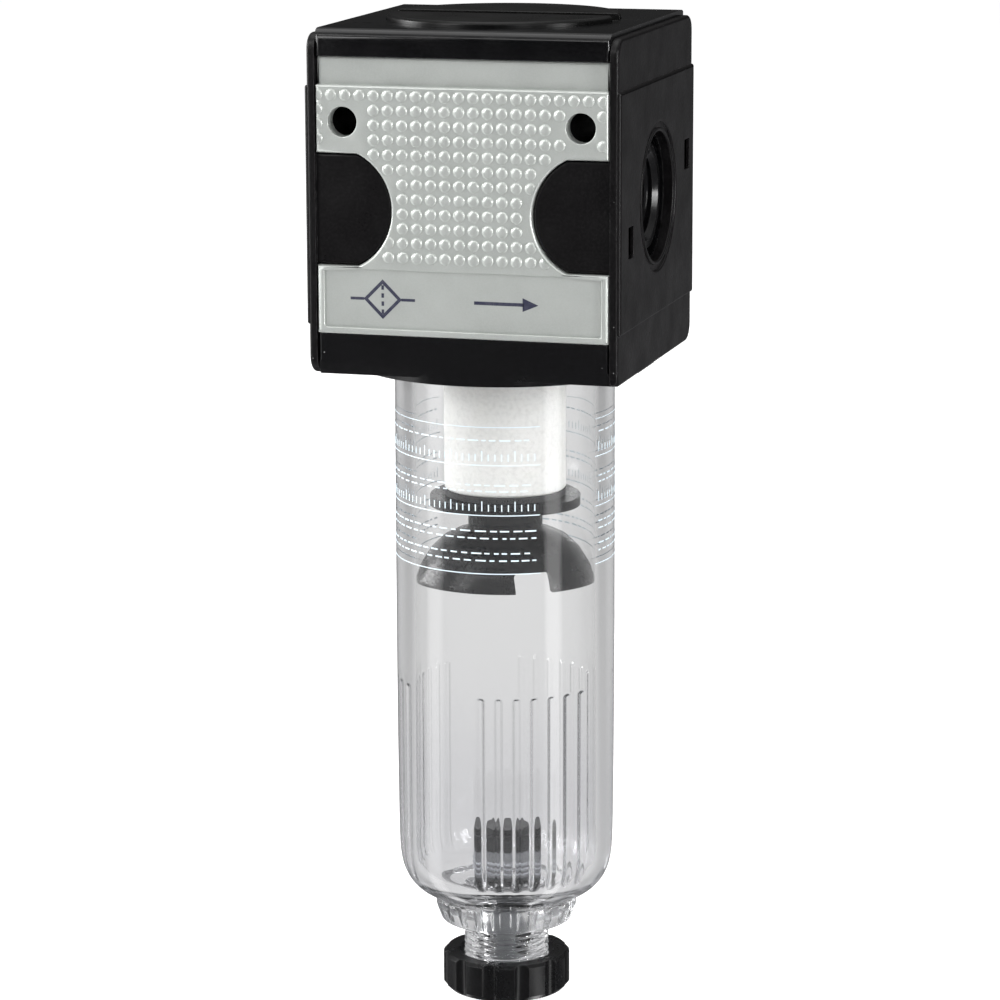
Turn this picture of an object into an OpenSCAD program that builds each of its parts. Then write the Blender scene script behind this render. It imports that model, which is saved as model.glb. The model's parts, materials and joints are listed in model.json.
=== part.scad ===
// Compressed air filter with a square head and a clear bowl, G1/4 ports.
// Frame: origin at the centre of the rear mounting face, at port height.
// +X towards the outlet, +Y towards the wall, +Z up. Millimetres.

/* [Head] */
// Width over both side covers
head_w = 52; // [48:1:56]
// Depth from the rear plate to the front plate
head_d = 50; // [50:0.5:54]
// Height of the side covers
cover_h = 54.8; // [54:0.2:58]
// Thickness of each side cover
cover_t = 1.75; // [1.4:0.05:2]
// Radius of the round corners of the side covers
cover_r = 3; // [2:0.5:4]
// Thickness of the front and rear plates
plate_t = 2.5; // [2:0.1:3]
// Radius of the top plug's round flange
plug_r = 19; // [18:0.5:20]
// Width of the coin slot in the top plug
slot_w = 4.45; // [2:0.05:6]

/* [Ports and mounting holes] */
// Radius of the port bores, the major radius of a G1/4 thread
port_r = 6.58; // [5.7:0.01:6.6]
// Radius of the opening in each side cover around the port
port_open_r = 10.5; // [10:0.1:11.5]
// Distance between the two mounting holes
bolt_span = 39.2; // [39:0.1:40]
// Height of the mounting holes above the ports
bolt_z = 13.5; // [12:0.5:14]
// Radius of the mounting holes, for M4 screws
bolt_r = 2.4; // [2.2:0.05:2.6]

/* [Bowl] */
// Outer radius of the bowl
bowl_r = 18.2; // [18:0.05:18.4]
// Inner radius of the bowl
bowl_in_r = 15.2; // [15.1:0.05:15.6]
// Radius of the threaded rim that screws into the head
rim_r = 19.45; // [19:0.05:19.5]
// Radius of the drain neck under the bowl
neck_r = 7.17; // [7:0.01:7.3]
// Number of inner ribs in each of the three groups
ribs = 7; // [3:1:8]

/* [Filter insert] */
// Outer radius of the sintered element
element_r = 10.13; // [9.5:0.01:10.2]
// Inner radius of the sintered element
element_in_r = 6.6; // [5.5:0.1:7.6]
// Radius of the baffle's upper disc
disc_r = 12.55; // [11:0.05:14]
// Radius of the baffle's lower skirt
skirt_r = 14.9; // [14.5:0.05:15]
// Number of guide vanes
vanes = 12; // [8:1:14]

/* [Drain] */
// Outer radius of the drain knob
knob_r = 10.73; // [10:0.01:12]
// Number of grip flutes round the knob
flutes = 12; // [8:1:16]
// Radius of the drain stem's shaft
stem_r = 3.3; // [3.2:0.01:3.34]
// Radius of the hose spigot at the end of the stem
spigot_r = 2.5; // [2.3:0.05:2.5]

/* [Hidden] */
$fn = 64;
e = 0.05;
ya = -head_d / 2;           // bowl axis
hx = head_w / 2 - cover_t - 0.05;  // half width of the casting
hf = head_d / 2 - 0.3;      // half depth of the casting's bands
z_top = 28.2;               // top face of the casting
z_bot = -27.4;              // bottom face of the casting
z_collar = -28.3;           // lower end of the round bowl collar
z_roof = -12.2;             // roof of the bowl cavity
pl_top = 23.8;              // plate top and bottom edges
pl_bot = -20.57;
band_d = 1.1;               // how far the plates' upper band lies behind their face
rec = plate_t + 0.05;       // depth of the plate recesses
lug_z = -0.55;              // centre height of the wrap-around lugs
lug_h = 8.75;               // half height of a lug
lug_cx = 21.5;              // centre of a lug's round end
lug_r = 9.7;                // radius of a lug's round end

// puts its children on the bowl axis
module on_axis() { translate([0, ya, 0]) children(); }

// round solid along X from x0 to x1
module xcyl(x0, x1, r) { translate([x0, 0, 0]) rotate([0, 90, 0]) cylinder(h = x1 - x0, r = r); }

// round tapered solid along X from x0 to x1
module xcone(x0, x1, r0, r1) { translate([x0, 0, 0]) rotate([0, 90, 0]) cylinder(h = x1 - x0, r1 = r0, r2 = r1); }

// rectangle with true round corners, centred
module round_rect(w, h, r) {
    square([w - 2 * r, h], center = true);
    square([w, h - 2 * r], center = true);
    for (sx = [-1, 1], sy = [-1, 1]) translate([sx * (w / 2 - r), sy * (h / 2 - r)]) circle(r = r);
}

// side view of the casting: round top edges, chamfered bottom edges
module block_profile() {
    r = 1.8;
    polygon([[-hf + 1.3, z_bot], [hf - 1.3, z_bot], [hf, z_bot + 2.5], [hf, z_top - r], [-hf, z_top - r], [-hf, z_bot + 2.5]]);
    translate([-hf + r, z_top - r - 0.5]) square([2 * (hf - r), r + 0.5]);
    for (s = [-1, 1]) translate([s * (hf - r), z_top - r]) circle(r = r);
}

// outline of a lug in the front view, grown by g, on the +X side
module lug_outline(g) {
    intersection() {
        translate([lug_cx, lug_z]) circle(r = lug_r + g);
        translate([lug_cx - 20, lug_z - lug_h - g]) square([20, 2 * (lug_h + g)]);
    }
    translate([lug_cx - 4, lug_z - lug_h - g]) square([hx - lug_cx + 4.2, 2 * (lug_h + g)]);
}

// one side's port: ring gap round the boss, threaded bore and mouth chamfer
module port_cut() {
    difference() {
        xcyl(20, hx + 1, port_open_r);
        xcyl(19, hx - 0.1, 8.6);
    }
    xcyl(14.7, hx, port_r);
    xcone(hx - 0.9, hx - 0.08, port_r, port_r + 0.82);
}

module head_body() color([0.09, 0.09, 0.1]) on_axis() {
    difference() {
        union() {
            intersection() {
                rotate([90, 0, 90]) linear_extrude(height = 2 * hx, center = true) block_profile();
                translate([0, 0, z_bot - 1]) linear_extrude(height = 60) round_rect(2 * hx, 2 * hf, 0.8);
            }
            intersection() {
                translate([0, 0, z_collar]) cylinder(h = 3.3, r = hf - 0.05);
                translate([-hx + 0.1, -25, z_collar - 1]) cube([2 * hx - 0.2, 50, 8]);
            }
        }
        // recesses for the plates and the cover lugs
        for (s = [-1, 1])
            translate([-hx - 1, s > 0 ? hf + 0.3 - rec : -hf - 0.3 - 1, pl_bot - e])
                cube([2 * hx + 2, rec + 1, pl_top - pl_bot + 2 * e]);
        // ports
        port_cut();
        rotate([0, 0, 180]) port_cut();
        // inlet passage, down into the ring chamber above the vanes
        xcyl(-14.8, -9.5, 5);
        intersection() {
            difference() {
                translate([0, 0, z_roof - 0.01]) cylinder(h = 10, r = 14.6);
                translate([0, 0, z_roof - 1]) cylinder(h = 12, r = 12.4);
            }
            translate([-16, -11, z_roof - 1]) cube([8, 22, 12]);
        }
        // outlet passage, up from the middle of the element
        xcyl(0, 14.8, 5);
        translate([0, 0, -6]) cylinder(h = 6, r = 5);
        difference() {
            translate([0, 0, z_roof - 0.01]) cylinder(h = 6.5, r = 7.5);
            translate([0, 0, z_roof - 1]) cylinder(h = 12, r = 4.2);
            for (i = [0:2]) rotate([0, 0, 120 * i + 30]) translate([0, -1.1, z_roof - 1]) cube([8, 2.2, 12]);
        }
        // cored pockets behind the plates
        for (s = [-1, 1]) translate([-20, s > 0 ? 11.5 : -23.5, -8.5]) cube([40, 12, 14.5]);
        // socket for the tie rod
        translate([0, 0, z_roof - 1]) cylinder(h = 7.2, r = 2.5);
        // bowl cavity
        translate([0, 0, z_collar - 1]) cylinder(h = -15.9 - z_collar + 1, r = 19.53);
        translate([0, 0, -16]) cylinder(h = z_roof + 16, r = 18.35);
        translate([0, 0, z_collar - e]) cylinder(h = 0.8, r1 = 20.4, r2 = 19.53);
        // top bore for the plug
        translate([0, 0, 26.65]) cylinder(h = 3, r = plug_r + 0.15);
        translate([0, 0, 18.5]) cylinder(h = 9, r = 14.03);
        translate([0, 0, 9]) cylinder(h = 10, r = 11);
        // mounting holes, right through
        for (s = [-1, 1]) translate([s * bolt_span / 2, 30, bolt_z]) rotate([90, 0, 0]) cylinder(h = 60, r = bolt_r);
        // marks of the casting's sliders in the top face
        translate([-19.8, -13.4, z_top - 0.3]) cube([3, 0.8, 2], center = true);
        translate([-19.95, 13.5, z_top - 0.3]) cube([1.5, 0.8, 2], center = true);
    }
}

// cross-section of a plate from above: front edges chamfered, face at y = f
module plate_section(f) {
    c = 0.9;
    x = hx - e;
    polygon([[-x, plate_t], [-x, f + c], [-x + 0.26, f + 0.26], [-x + c, f], [x - c, f], [x - 0.26, f + 0.26], [x, f + c], [x, plate_t]]);
}

// plate lying in a recess, outer face at y = 0, solid towards +y
module plate(front) {
    difference() {
        union() {
            translate([0, 0, pl_bot]) linear_extrude(height = 19.35 - pl_bot) plate_section(0);
            translate([0, 0, 19]) linear_extrude(height = pl_top - 19) plate_section(band_d);
        }
        for (s = [0, 1]) mirror([s, 0, 0]) translate([0, plate_t + 1, 0]) rotate([90, 0, 0])
            linear_extrude(height = plate_t + 2) lug_outline(0.25);
        for (s = [-1, 1]) translate([s * bolt_span / 2, plate_t + 1, bolt_z]) rotate([90, 0, 0])
            cylinder(h = plate_t + 2, r = bolt_r);
        // sunk name panel
        if (front) translate([-22.9, -1, -19.45]) cube([45.8, 1.45, 9.75]);
    }
}

module front_plate() color([0.72, 0.74, 0.73]) translate([0, -head_d, 0]) plate(true);

module rear_plate() color([0.72, 0.74, 0.73]) mirror([0, 1, 0]) plate(false);

// cover on the +X side, in bowl axis coordinates
module side_cover() {
    cd = head_d / 2 - 0.15;
    x0 = head_w / 2 - cover_t;
    difference() {
        union() {
            translate([x0, 0, 0]) rotate([90, 0, 90]) linear_extrude(height = cover_t - 0.4) round_rect(2 * cd, cover_h, cover_r);
            translate([x0, 0, -0.05]) rotate([90, 0, 90]) linear_extrude(height = cover_t) square([2 * cd - 1.4, 38.5], center = true);
            // lugs that wrap round to the front and the back
            for (s = [0, 1]) mirror([0, s, 0]) translate([0, -hf - 0.3 + plate_t, 0]) rotate([90, 0, 0])
                linear_extrude(height = plate_t - 0.7) {
                    lug_outline(0);
                    translate([hx - 1, lug_z - lug_h]) square([x0 + 1 - hx + 0.6, 2 * lug_h]);
                }
        }
        xcyl(20, 30, port_open_r);
        // groove that leaves a lip round the opening
        difference() {
            xcyl(head_w / 2 - 0.45, 30, port_open_r + 1.6);
            xcyl(head_w / 2 - 1, 31, port_open_r + 0.7);
        }
        // coupling windows
        translate([20, -19.6, -7.6]) cube([10, 3.2, 5]);
        translate([20, 18, 2.15]) cube([10, 3.5, 4.95]);
    }
}

module outlet_cover() color([0.07, 0.07, 0.075]) on_axis() side_cover();

module inlet_cover() color([0.07, 0.07, 0.075]) on_axis() rotate([0, 0, 180]) side_cover();

module top_plug() color([0.1, 0.1, 0.11]) on_axis() difference() {
    union() {
        translate([0, 0, 26.7]) cylinder(h = 2.1, r = plug_r);
        translate([0, 0, 28.8]) cylinder(h = 0.4, r1 = plug_r, r2 = plug_r - 0.4);
        translate([0, 0, 19.5]) cylinder(h = 7.3, r = 13.95);
    }
    translate([-30, -slot_w / 2, 27.9]) cube([60, slot_w, 5]);
    translate([0, 0, 18]) cylinder(h = 7.5, r = 10.5);
    translate([0, 0, 20.4]) difference() { cylinder(h = 2, r = 15); translate([0, 0, -1]) cylinder(h = 4, r = 12.15); }
}

module o_ring(r, t, z) translate([0, 0, z]) rotate_extrude() translate([r, 0]) circle(r = t);

module top_plug_seal() color([0.05, 0.05, 0.05]) on_axis() o_ring(13.09, 0.92, 21.4);

module guide_vanes() color([0.12, 0.12, 0.13]) on_axis() {
    difference() {
        union() {
            translate([0, 0, -24]) cylinder(h = z_roof + 24, r = 12.2);
            intersection() {
                union() for (i = [0:vanes - 1]) rotate([0, 0, i * 360 / vanes]) translate([13.3, 0, -19]) rotate([38, 0, 0])
                    cube([5, 1, 14], center = true);
                translate([0, 0, -23.5]) cylinder(h = 9.5, r = 15);
            }
        }
        translate([0, 0, -25]) cylinder(h = 14, r = 10.35);
    }
}

module ring(r0, r1, z0, z1) difference() {
    translate([0, 0, z0]) cylinder(h = z1 - z0, r = r1);
    translate([0, 0, z0 - 1]) cylinder(h = z1 - z0 + 2, r = r0);
}

module upper_gasket() color([0.05, 0.05, 0.05]) on_axis() ring(7.6, 10, z_roof - 1.2, z_roof);

module filter_element() color([0.94, 0.94, 0.92]) on_axis() ring(element_in_r, element_r, -49.2, z_roof - 1.2);

module lower_gasket() color([0.05, 0.05, 0.05]) on_axis() ring(5, element_r - 0.1, -50.2, -49.2);

module tie_rod() color([0.75, 0.72, 0.6]) on_axis() {
    translate([0, 0, -58.5]) cylinder(h = z_roof + 5.8 + 58.5, r = 2.45);
    ring(2.4, 3.6, z_roof - 1.6, z_roof - 0.05);
}

module baffle() color([0.07, 0.07, 0.08]) on_axis() difference() {
    rotate_extrude() polygon([[2.5, -50.2], [disc_r, -50.2], [disc_r, -51.8], [6.2, -51.8], [6.2, -56.2], [7, -56.4], [8.8, -56.9],
        [skirt_r - 4.4, -57.7], [skirt_r - 2.4, -59.5], [skirt_r - 0.7, -62], [skirt_r, -63.7], [skirt_r, -64.3],
        [skirt_r - 1.1, -64.3], [skirt_r - 1.8, -62.6], [skirt_r - 3.2, -60.6], [10, -59.2], [8, -58.4], [4.6, -58.2],
        [4.6, -62], [0, -62], [0, -60.8], [2.5, -60.8]]);
    for (i = [0:2]) rotate([0, 0, 33.5 - 90 + 120 * i]) translate([9, 0, -64.3]) rotate([90, 0, 90])
        linear_extrude(height = 10) round_rect(5.9, 6.4, 0.8);
}

module bowl() color([0.8, 0.85, 0.9, 0.4]) on_axis() {
    rotate_extrude() polygon([[bowl_in_r, -14.2], [bowl_in_r, -111.5], [bowl_in_r - 0.3, -113.3], [bowl_in_r - 1.2, -115.2],
        [bowl_in_r - 2.7, -116.5], [10.8, -117], [4.4, -117], [4.4, -119.4], [stem_r + 0.06, -119.4], [stem_r + 0.06, -131.6],
        [neck_r, -131.6], [neck_r, -123.9], [10.9, -123.9], [11.16, -123.5], [11.9, -121.5], [11.9, -119.9], [13, -119.3],
        [15, -117.9], [16.4, -116.4], [17.25, -115], [17.45, -114], [17.9, -112.2], [18.1, -104],
        [bowl_r, -69], [bowl_r, -26.5], [rim_r, -26], [rim_r, -17.2], [bowl_r, -16.2], [bowl_r, -14.2]]);
    for (g = [0:2], k = [0:ribs - 1])
        rotate([0, 0, 33 - 90 + 120 * g + 10.7 * (k - (ribs - 1) / 2)])
            translate([bowl_in_r + 0.5, 0, -114]) cylinder(h = 32.3, r = 0.85, $fn = 24);
}

module bowl_seal() color([0.05, 0.05, 0.05]) on_axis() o_ring(16.7, 0.98, -13.21);

module drain_stem() color([0.08, 0.08, 0.09]) on_axis() difference() {
    union() {
        translate([0, 0, -116]) cylinder(h = 7.7, r = 5.4);
        translate([0, 0, -108.3]) cylinder(h = 0.8, r1 = 4.9, r2 = 3.8);
        translate([0, 0, -134.3]) cylinder(h = 18.4, r = stem_r);
        translate([0, 0, -140.4]) cylinder(h = 6.2, r = spigot_r);
        translate([0, 0, -141]) cylinder(h = 0.6, r1 = spigot_r - 0.4, r2 = spigot_r);
    }
    // outlet bore and its two inlets under the valve head
    translate([0, 0, -142]) cylinder(h = 24, r = 1.2);
    for (a = [0, 90]) rotate([0, 0, a]) translate([0, 0, -118.6]) rotate([90, 0, 0]) cylinder(h = 10, r = 0.6, center = true);
    // grooves for the o-ring and the clip
    ring(1.85, 5, -126.8, -125.2);
    ring(1.95, 5, -136.12, -135.52);
}

module drain_seal() color([0.05, 0.05, 0.05]) on_axis() ring(stem_r + 0.04, 5.3, -117, -116);

module stem_ring() color([0.05, 0.05, 0.05]) on_axis() o_ring(2.6, 0.73, -126);

module drain_knob() color([0.06, 0.06, 0.065]) on_axis() difference() {
    rotate_extrude() polygon([[spigot_r + 0.06, -134.3], [neck_r + 0.08, -134.3], [neck_r + 0.08, -130.6], [neck_r + 0.9, -129.8],
        [knob_r - 0.5, -129.8], [knob_r, -130.3], [knob_r, -135.3], [knob_r - 0.9, -136.2], [5.2, -136.2], [5.2, -135.5],
        [spigot_r + 0.06, -135.5]]);
    for (i = [0:flutes - 1]) rotate([0, 0, i * 360 / flutes]) translate([knob_r + 0.75, 0, -140]) cylinder(h = 12, r = 1.5, $fn = 24);
}

module knob_clip() color([0.7, 0.7, 0.72]) on_axis() difference() {
    ring(1.97, 4.4, -136.07, -135.57);
    translate([-1, 0, -137]) cube([2, 6, 3]);
}

head_body();
front_plate();
rear_plate();
inlet_cover();
outlet_cover();
top_plug();
top_plug_seal();
guide_vanes();
filter_element();
upper_gasket();
lower_gasket();
tie_rod();
baffle();
bowl();
bowl_seal();
drain_stem();
drain_seal();
stem_ring();
drain_knob();
knob_clip();
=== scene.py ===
import bpy, bmesh, math, json
import numpy as np
from mathutils import Vector, Matrix


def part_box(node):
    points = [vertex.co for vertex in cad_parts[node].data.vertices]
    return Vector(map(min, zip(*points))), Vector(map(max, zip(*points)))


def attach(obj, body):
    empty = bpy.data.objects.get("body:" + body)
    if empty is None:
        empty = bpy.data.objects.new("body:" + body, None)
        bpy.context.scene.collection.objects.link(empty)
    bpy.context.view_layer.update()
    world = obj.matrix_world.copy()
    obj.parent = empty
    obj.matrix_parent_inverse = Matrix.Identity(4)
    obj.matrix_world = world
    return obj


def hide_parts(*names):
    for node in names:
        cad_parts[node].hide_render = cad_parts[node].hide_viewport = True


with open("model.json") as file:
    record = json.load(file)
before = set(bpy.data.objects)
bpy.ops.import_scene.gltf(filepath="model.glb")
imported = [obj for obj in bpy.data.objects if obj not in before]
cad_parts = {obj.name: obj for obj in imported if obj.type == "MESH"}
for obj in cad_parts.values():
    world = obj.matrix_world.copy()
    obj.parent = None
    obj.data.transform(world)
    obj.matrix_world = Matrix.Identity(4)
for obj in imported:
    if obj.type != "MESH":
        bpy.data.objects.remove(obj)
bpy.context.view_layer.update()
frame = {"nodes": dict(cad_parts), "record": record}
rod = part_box("tie_rod")
YA = 500.0 * (rod[0][1] + rod[1][1])      # bowl axis in the row frame, mm
R = math.radians
rng = np.random.default_rng(11)

# ------------------------------------------------------------------ mesh helpers
# all shapes are in millimetres in bowl-axis coordinates: x right, y from the bowl axis, z from the ports


def to_row(v):
    v = np.asarray(v, float).reshape(-1, 3).copy()
    v[:, 1] += YA
    return v * 0.001


def make_obj(name, verts, faces, sharp=35, weighted=False):
    me = bpy.data.meshes.new(name)
    me.from_pydata([tuple(p) for p in to_row(verts)], [], [tuple(f) for f in faces])
    me.validate()
    ob = bpy.data.objects.new(name, me)
    bpy.context.scene.collection.objects.link(ob)
    shade(ob, sharp)
    if weighted:
        m = ob.modifiers.new("wn", "WEIGHTED_NORMAL")
        m.keep_sharp = True
        m.weight = 80
    return ob


def shade(ob, sharp=35):
    me = ob.data
    me.polygons.foreach_set("use_smooth", [True] * len(me.polygons))
    me.set_sharp_from_angle(angle=R(sharp))
    me.update()


class Mesh:
    """Collects closed shells."""
    def __init__(self):
        self.v, self.f = [], []

    def add(self, v, f):
        n = len(self.v)
        self.v.extend([tuple(float(c) for c in p) for p in v])
        self.f.extend([tuple(int(i) + n for i in q) for q in f])
        return self

    def obj(self, name, sharp=35, weighted=True):
        return make_obj(name, self.v, self.f, sharp, weighted)


def area2(P):
    x, y = P[:, 0], P[:, 1]
    return 0.5 * np.sum(x * np.roll(y, -1) - np.roll(x, -1) * y)


def inset(P, d):
    a = np.roll(P, 1, 0); c = np.roll(P, -1, 0)
    e1 = P - a; e2 = c - P
    e1 /= np.linalg.norm(e1, axis=1)[:, None]; e2 /= np.linalg.norm(e2, axis=1)[:, None]
    n1 = np.stack([-e1[:, 1], e1[:, 0]], 1); n2 = np.stack([-e2[:, 1], e2[:, 0]], 1)
    den = 1 + np.sum(n1 * n2, 1)
    m = (n1 + n2) / np.maximum(den, 0.35)[:, None]
    d = np.asarray(d, float)
    return P + (d[:, None] if d.ndim else d) * m


def slab(outline, holes, t, b_out, b_hole, place, back=0.0, rings=4):
    """Plate with rounded front edges. outline and holes are 2D loops, t the thickness,
    place(u, v, w) maps in-plane coordinates and depth behind the face to x, y, z."""
    loops = []
    P = np.asarray(outline, float)
    P = P if area2(P) > 0 else P[::-1]
    loops.append((P, b_out(P) if callable(b_out) else b_out))
    for i, h in enumerate(holes):
        h = np.asarray(h, float)
        loops.append((h if area2(h) < 0 else h[::-1], b_hole[i] if isinstance(b_hole, (list, tuple)) else b_hole))
    verts, faces = [], []
    front, rear = [], []
    for P, b in loops:
        n = len(P)
        stack = []
        if back:
            stack.append((inset(P, back), t))
            stack.append((P, t - back))
        else:
            stack.append((P, t))
        for k in range(rings + 1):
            a = k / rings * math.pi / 2
            stack.append((inset(P, b * (1 - math.cos(a))) if k else P, b * (1 - math.sin(a))))
        stack = [(Q, np.broadcast_to(np.asarray(w, float), (n,))) for Q, w in stack]
        base = len(verts)
        for Q, w in stack:
            verts.extend([place(u, v, ww) for (u, v), ww in zip(Q, w)])
        for k in range(len(stack) - 1):
            for i in range(n):
                j = (i + 1) % n
                faces.append((base + k * n + i, base + k * n + j, base + (k + 1) * n + j, base + (k + 1) * n + i))
        rear.append([base + i for i in range(n)])
        front.append([base + (len(stack) - 1) * n + i for i in range(n)])
    bm = bmesh.new()
    bv = [bm.verts.new(v) for v in verts]
    for f in faces:
        bm.faces.new([bv[i] for i in f])
    bm.verts.ensure_lookup_table()
    for group in (front, rear):
        edges = []
        for loop in group:
            for i in range(len(loop)):
                e = bm.edges.get((bv[loop[i]], bv[loop[(i + 1) % len(loop)]]))
                edges.append(e)
        bmesh.ops.triangle_fill(bm, use_beauty=True, use_dissolve=False, edges=edges)
    bmesh.ops.remove_doubles(bm, verts=bm.verts, dist=1e-5)
    bmesh.ops.recalc_face_normals(bm, faces=bm.faces)
    bm.verts.index_update()
    v = [tuple(p.co) for p in bm.verts]
    f = [[p.index for p in fa.verts] for fa in bm.faces]
    bm.free()
    return v, f


def circle2(cx, cy, r, n=96):
    a = np.arange(n) * 2 * math.pi / n
    return np.stack([cx + r * np.cos(a), cy + r * np.sin(a)], 1)


def rrect(x0, y0, x1, y1, r, n=8):
    """Rectangle with its own radius at each corner: r = (bottom left, bottom right, top right, top left)."""
    if not isinstance(r, (list, tuple)):
        r = (r,) * 4
    out = []
    for (cx, cy, sx, sy, rr, a0) in ((x0, y0, 1, 1, r[0], 180), (x1, y0, -1, 1, r[1], 270), (x1, y1, -1, -1, r[2], 0), (x0, y1, 1, -1, r[3], 90)):
        if rr <= 0:
            out.append((cx, cy)); continue
        for k in range(n + 1):
            a = R(a0 + 90 * k / n)
            out.append((cx + sx * rr + rr * math.cos(a), cy + sy * rr + rr * math.sin(a)))
    return np.array(out)


def revolve(profile, seg, rfun=None, closed=True):
    """Closed profile of (r, z) points turned about the bowl axis. rfun(i, r, z, angles) may change r."""
    P = np.asarray(profile, float)
    th = np.arange(seg) * 2 * math.pi / seg
    verts = []
    for i, (r, z) in enumerate(P):
        rr = np.full(seg, r) if rfun is None else rfun(i, r, z, th)
        zz = np.full(seg, z)
        verts.append(np.stack([rr * np.sin(th), -rr * np.cos(th), zz], 1))
    verts = np.concatenate(verts)
    n = len(P)
    faces = []
    for i in range(n if closed else n - 1):
        a, b = i * seg, ((i + 1) % n) * seg
        for j in range(seg):
            k = (j + 1) % seg
            faces.append((a + j, a + k, b + k, b + j))
    bm = bmesh.new()
    bv = [bm.verts.new(v) for v in verts]
    for f in faces:
        bm.faces.new([bv[i] for i in f])
    bmesh.ops.recalc_face_normals(bm, faces=bm.faces)
    bm.verts.index_update()
    f = [[p.index for p in fa.verts] for fa in bm.faces]
    bm.free()
    return verts, f


def smooth_path(pts, n):
    """Catmull-Rom through the points, n samples a span."""
    P = np.asarray(pts, float)
    P = np.vstack([2 * P[0] - P[1], P, 2 * P[-1] - P[-2]])
    out = []
    for i in range(1, len(P) - 2):
        for k in range(n):
            t = k / n
            a, b, c, d = P[i - 1:i + 3]
            out.append(0.5 * ((2 * b) + (-a + c) * t + (2 * a - 5 * b + 4 * c - d) * t * t + (-a + 3 * b - 3 * c + d) * t ** 3))
    out.append(P[-2])
    return np.array(out)


def apply_boolean(a, b, op):
    m = a.modifiers.new("b", "BOOLEAN")
    m.operation = op
    m.solver = "EXACT"
    m.object = b
    bpy.context.view_layer.update()
    dg = bpy.context.evaluated_depsgraph_get()
    me = bpy.data.meshes.new_from_object(a.evaluated_get(dg))
    v = np.array([p.co for p in me.vertices]) * 1000
    v[:, 1] -= YA
    f = [list(p.vertices) for p in me.polygons]
    for o in (a, b):
        bpy.data.objects.remove(o)
    return v, f


# ------------------------------------------------------------------ materials
def lin(r, g, b):
    return tuple(((c / 255) / 12.92 if c / 255 <= 0.04045 else ((c / 255 + 0.055) / 1.055) ** 2.4) for c in (r, g, b)) + (1,)


class Mat:
    def __init__(self, name):
        self.m = bpy.data.materials.new(name)
        self.m.use_nodes = True
        self.nt = self.m.node_tree
        self.nt.nodes.clear()
        self.out = self.n("ShaderNodeOutputMaterial")
        self.p = self.n("ShaderNodeBsdfPrincipled")
        self.l(self.p.outputs[0], self.out.inputs[0])
        self.co = self.n("ShaderNodeTexCoord").outputs["Object"]

    def n(self, kind, **kw):
        x = self.nt.nodes.new(kind)
        for k, v in kw.items():
            setattr(x, k, v)
        return x

    def l(self, a, b):
        self.nt.links.new(a, b)

    def noise(self, scale, detail=2, rough=0.5, co=None):
        x = self.n("ShaderNodeTexNoise")
        x.inputs["Scale"].default_value = scale
        x.inputs["Detail"].default_value = detail
        x.inputs["Roughness"].default_value = rough
        self.l(co or self.co, x.inputs["Vector"])
        return x.outputs[0]

    def voronoi(self, scale, feature="F1", co=None):
        x = self.n("ShaderNodeTexVoronoi", feature=feature)
        x.inputs["Scale"].default_value = scale
        self.l(co or self.co, x.inputs["Vector"])
        return x

    def ramp(self, val, lo, hi, a=0.0, b=1.0):
        x = self.n("ShaderNodeMapRange")
        x.inputs["From Min"].default_value = lo
        x.inputs["From Max"].default_value = hi
        x.inputs["To Min"].default_value = a
        x.inputs["To Max"].default_value = b
        self.l(val, x.inputs["Value"])
        return x.outputs[0]

    def math(self, op, a, b=None, clamp=False):
        x = self.n("ShaderNodeMath", operation=op)
        x.use_clamp = clamp
        for i, v in enumerate((a, b)):
            if v is None:
                continue
            if isinstance(v, (int, float)):
                x.inputs[i].default_value = v
            else:
                self.l(v, x.inputs[i])
        return x.outputs[0]

    def mix(self, fac, a, b):
        x = self.n("ShaderNodeMix", data_type="RGBA")
        for sock, v in ((x.inputs[0], fac), (x.inputs[6], a), (x.inputs[7], b)):
            if isinstance(v, (int, float)):
                sock.default_value = v
            elif isinstance(v, tuple):
                sock.default_value = v
            else:
                self.l(v, sock)
        return x.outputs[2]

    def bump(self, h, strength, dist, normal=None):
        x = self.n("ShaderNodeBump")
        x.inputs["Strength"].default_value = strength
        x.inputs["Distance"].default_value = dist
        self.l(h, x.inputs["Height"])
        if normal is not None:
            self.l(normal, x.inputs["Normal"])
        return x.outputs[0]

    def edge(self, radius, lo=0.02, hi=0.35, samples=4):
        """About 1 on convex and concave edges, 0 on flats."""
        bv = self.n("ShaderNodeBevel")
        bv.samples = samples
        bv.inputs["Radius"].default_value = radius
        g = self.n("ShaderNodeNewGeometry")
        d = self.n("ShaderNodeVectorMath", operation="DOT_PRODUCT")
        self.l(bv.outputs[0], d.inputs[0])
        self.l(g.outputs["Normal"], d.inputs[1])
        return self.ramp(self.math("SUBTRACT", 1.0, d.outputs["Value"]), lo, hi)

    def set(self, **kw):
        for k, v in kw.items():
            s = self.p.inputs[k.replace("_", " ")]
            if isinstance(v, (int, float, tuple)):
                s.default_value = v
            else:
                self.l(v, s)
        return self


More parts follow.
